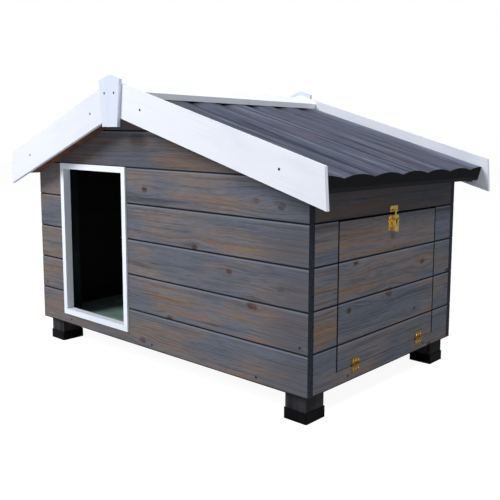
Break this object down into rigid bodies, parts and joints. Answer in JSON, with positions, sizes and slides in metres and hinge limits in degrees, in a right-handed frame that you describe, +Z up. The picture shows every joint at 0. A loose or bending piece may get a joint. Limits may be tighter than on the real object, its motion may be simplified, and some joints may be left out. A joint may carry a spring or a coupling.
{
  "type": "dog house",
  "caption": "Wooden dog house on capped legs with an uneven gabled board roof, a framed doorway and a drop-down cleaning hatch held by a draw latch.",
  "frame": {"origin": "on the ground under the middle of the roof's full length and of the full depth", "axes": "+X to the right along the front wall, +Y from the doorway side to the back, +Z up"},
  "size_m": [1.213, 0.756, 0.7825],
  "materials": {
    "wall_blue_grey": "matt blue-grey stain with the brown grain showing through",
    "trim_white": "matt white paint, slightly bluish",
    "roof_grey": "anthracite stain, dull, with streaks along the boards",
    "fascia_black": "black stain",
    "batten_wood": "brown stain on plain softwood",
    "floor_wood": "grey-green preserving stain",
    "leg_wood": "dark grey-brown stain",
    "cap_black": "matt black moulded plastic",
    "screw_dark": "dark coated steel, on the screw heads that the visual model draws",
    "brass_bright": "bright brass plating"
  },
  "bodies": {
    "house": {"back_wall_boards": "wall_blue_grey", "barge_board_back_left": "trim_white", "barge_board_back_right": "trim_white", "barge_board_front_left": "trim_white", "barge_board_front_right": "trim_white", "door_frame_left": "trim_white", "door_frame_right": "trim_white", "door_frame_sill": "trim_white", "door_frame_top": "trim_white", "eave_fascia_left": "fascia_black", "eave_fascia_right": "fascia_black", "finial_back": "trim_white", "finial_front": "trim_white", "floor_boards": "floor_wood", "foot_cap_back_left": "cap_black", "foot_cap_back_right": "cap_black", "foot_cap_front_left": "cap_black", "foot_cap_front_right": "cap_black", "front_board_bottom": "wall_blue_grey", "front_boards_left": "wall_blue_grey", "front_boards_right": "wall_blue_grey", "front_gable_lower": "wall_blue_grey", "front_gable_upper": "wall_blue_grey", "hatch_stop_back": "batten_wood", "hatch_stop_front": "batten_wood", "hinge_fixed_leaf_back": "brass_bright", "hinge_fixed_leaf_front": "brass_bright", "hinge_pin_back": "brass_bright", "hinge_pin_front": "brass_bright", "latch_catch": "brass_bright", "left_wall_boards": "wall_blue_grey", "leg_back_left": "leg_wood", "leg_back_right": "leg_wood", "leg_front_left": "leg_wood", "leg_front_right": "leg_wood", "ridge_beam": "batten_wood", "ridge_cap_left": "trim_white", "ridge_cap_right": "trim_white", "right_board_bottom": "wall_blue_grey", "right_board_top": "wall_blue_grey", "right_boards_back": "wall_blue_grey", "right_boards_front": "wall_blue_grey", "roof_boards_left": "roof_grey", "roof_boards_right": "roof_grey", "verge_batten_back_left": "batten_wood", "verge_batten_back_right": "batten_wood", "verge_batten_front_left": "batten_wood", "verge_batten_front_right": "batten_wood"},
    "hatch": {"hatch_boards": "wall_blue_grey", "hatch_batten_front": "batten_wood", "hatch_batten_back": "batten_wood", "hinge_hatch_leaf_front": "brass_bright", "hinge_hatch_leaf_back": "brass_bright", "latch_base": "brass_bright", "latch_rivets": "brass_bright"},
    "latch_lever": {"latch_lever": "brass_bright"},
    "latch_link": {"latch_link": "brass_bright"}
  },
  "joints": [
    {"name": "hatch_hinge", "type": "hinge", "parent": "house", "child": "hatch", "pos_m": [0.519, 0.01, 0.102], "axis": [0, 1, 0], "range_deg": [0, 100]},
    {"name": "latch_pivot", "type": "hinge", "parent": "hatch", "child": "latch_lever", "pos_m": [0.5225, 0.017, 0.433], "axis": [0, -1, 0], "range_deg": [0, 140]},
    {"name": "link_pivot", "type": "hinge", "parent": "latch_lever", "child": "latch_link", "pos_m": [0.5225, 0.017, 0.425], "axis": [0, -1, 0], "range_deg": [-140, 0]}
  ],
  "couplings": [
    {"joint": "link_pivot", "follows": "latch_pivot", "ratio": -1}
  ]
}
